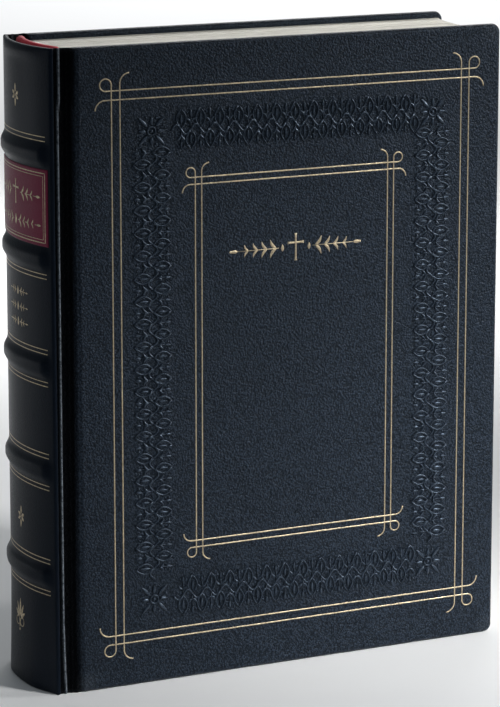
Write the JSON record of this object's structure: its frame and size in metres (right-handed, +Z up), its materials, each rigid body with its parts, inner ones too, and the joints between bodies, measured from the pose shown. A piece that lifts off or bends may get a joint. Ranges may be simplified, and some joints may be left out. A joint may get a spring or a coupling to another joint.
{
  "type": "bible",
  "caption": "Large upright bible bound in leather over boards, with raised bands on a rounded spine, gilt-tooled covers that open, and leaves that fan.",
  "frame": {"origin": "the centre of the closed book's bounding box, on the surface that it stands on", "axes": "+Z up along the spine, from tail to head; +X from the spine to the fore-edge; -Y out of the front cover"},
  "size_m": [0.228, 0.06, 0.29],
  "materials": {
    "leather": "satin",
    "label": "satin",
    "board": "matte",
    "card": "matte",
    "endpaper": "matte",
    "leaves": "satin",
    "cloth": "matte",
    "endband": "satin",
    "gilt": "satin"
  },
  "bodies": {
    "spine_and_block": {"spine_leather": "leather", "spine_inlay": "card", "raised_band_1": "board", "raised_band_2": "board", "raised_band_3": "board", "raised_band_4": "board", "raised_band_5": "board", "spine_label": "label", "spine_lining": "card", "spine_mull": "cloth", "sewn_spine": "leaves", "headband": "endband", "tailband": "endband", "front_joint_leather": "leather", "back_joint_leather": "leather", "section_06": "leaves", "section_07": "leaves"},
    "front_cover": {"front_cover_leather": "leather", "front_board": "board", "front_infill": "card", "front_pastedown": "endpaper"},
    "back_cover": {"back_cover_leather": "leather", "back_board": "board", "back_infill": "card", "back_pastedown": "endpaper"},
    "front_flyleaf": {"front_flyleaf": "endpaper"},
    "section_01": {"section_01": "leaves"},
    "section_02": {"section_02": "leaves"},
    "section_03": {"section_03": "leaves"},
    "section_04": {"section_04": "leaves"},
    "section_05": {"section_05": "leaves"},
    "back_flyleaf": {"back_flyleaf": "endpaper"},
    "section_12": {"section_12": "leaves"},
    "section_11": {"section_11": "leaves"},
    "section_10": {"section_10": "leaves"},
    "section_09": {"section_09": "leaves"},
    "section_08": {"section_08": "leaves"}
  },
  "joints": [
    {"name": "front_cover_hinge", "type": "hinge", "parent": "spine_and_block", "child": "front_cover", "pos_m": [-0.1, -0.0305, 0.145], "axis": [0, 0, -1], "range_deg": [0, 178]},
    {"name": "back_cover_hinge", "type": "hinge", "parent": "spine_and_block", "child": "back_cover", "pos_m": [-0.1, 0.0305, 0.145], "axis": [0, 0, 1], "range_deg": [0, 178]},
    {"name": "front_flyleaf_turn", "type": "hinge", "parent": "spine_and_block", "child": "front_flyleaf", "pos_m": [-0.0934, -0.0247, 0.145], "axis": [0, 0, -1], "range_deg": [0, 110.36]},
    {"name": "section_01_turn", "type": "hinge", "parent": "spine_and_block", "child": "section_01", "pos_m": [-0.0934, -0.02237, 0.145], "axis": [0, 0, -1], "range_deg": [0, 69.42]},
    {"name": "section_02_turn", "type": "hinge", "parent": "spine_and_block", "child": "section_02", "pos_m": [-0.0934, -0.0183, 0.145], "axis": [0, 0, -1], "range_deg": [0, 55.18]},
    {"name": "section_03_turn", "type": "hinge", "parent": "spine_and_block", "child": "section_03", "pos_m": [-0.0934, -0.01423, 0.145], "axis": [0, 0, -1], "range_deg": [0, 39.16]},
    {"name": "section_04_turn", "type": "hinge", "parent": "spine_and_block", "child": "section_04", "pos_m": [-0.0934, -0.01017, 0.145], "axis": [0, 0, -1], "range_deg": [0, 24.03]},
    {"name": "section_05_turn", "type": "hinge", "parent": "spine_and_block", "child": "section_05", "pos_m": [-0.0934, -0.0061, 0.145], "axis": [0, 0, -1], "range_deg": [0, 10.68]},
    {"name": "back_flyleaf_turn", "type": "hinge", "parent": "spine_and_block", "child": "back_flyleaf", "pos_m": [-0.0934, 0.0247, 0.145], "axis": [0, 0, 1], "range_deg": [0, 110.36]},
    {"name": "section_12_turn", "type": "hinge", "parent": "spine_and_block", "child": "section_12", "pos_m": [-0.0934, 0.02237, 0.145], "axis": [0, 0, 1], "range_deg": [0, 69.42]},
    {"name": "section_11_turn", "type": "hinge", "parent": "spine_and_block", "child": "section_11", "pos_m": [-0.0934, 0.0183, 0.145], "axis": [0, 0, 1], "range_deg": [0, 55.18]},
    {"name": "section_10_turn", "type": "hinge", "parent": "spine_and_block", "child": "section_10", "pos_m": [-0.0934, 0.01423, 0.145], "axis": [0, 0, 1], "range_deg": [0, 39.16]},
    {"name": "section_09_turn", "type": "hinge", "parent": "spine_and_block", "child": "section_09", "pos_m": [-0.0934, 0.01017, 0.145], "axis": [0, 0, 1], "range_deg": [0, 24.03]},
    {"name": "section_08_turn", "type": "hinge", "parent": "spine_and_block", "child": "section_08", "pos_m": [-0.0934, 0.0061, 0.145], "axis": [0, 0, 1], "range_deg": [0, 10.68]}
  ],
  "couplings": [
    {"joint": "front_flyleaf_turn", "follows": "front_cover_hinge", "ratio": 0.62},
    {"joint": "section_01_turn", "follows": "front_cover_hinge", "ratio": 0.39},
    {"joint": "section_02_turn", "follows": "front_cover_hinge", "ratio": 0.31},
    {"joint": "section_03_turn", "follows": "front_cover_hinge", "ratio": 0.22},
    {"joint": "section_04_turn", "follows": "front_cover_hinge", "ratio": 0.135},
    {"joint": "section_05_turn", "follows": "front_cover_hinge", "ratio": 0.06},
    {"joint": "back_flyleaf_turn", "follows": "back_cover_hinge", "ratio": 0.62},
    {"joint": "section_12_turn", "follows": "back_cover_hinge", "ratio": 0.39},
    {"joint": "section_11_turn", "follows": "back_cover_hinge", "ratio": 0.31},
    {"joint": "section_10_turn", "follows": "back_cover_hinge", "ratio": 0.22},
    {"joint": "section_09_turn", "follows": "back_cover_hinge", "ratio": 0.135},
    {"joint": "section_08_turn", "follows": "back_cover_hinge", "ratio": 0.06}
  ]
}
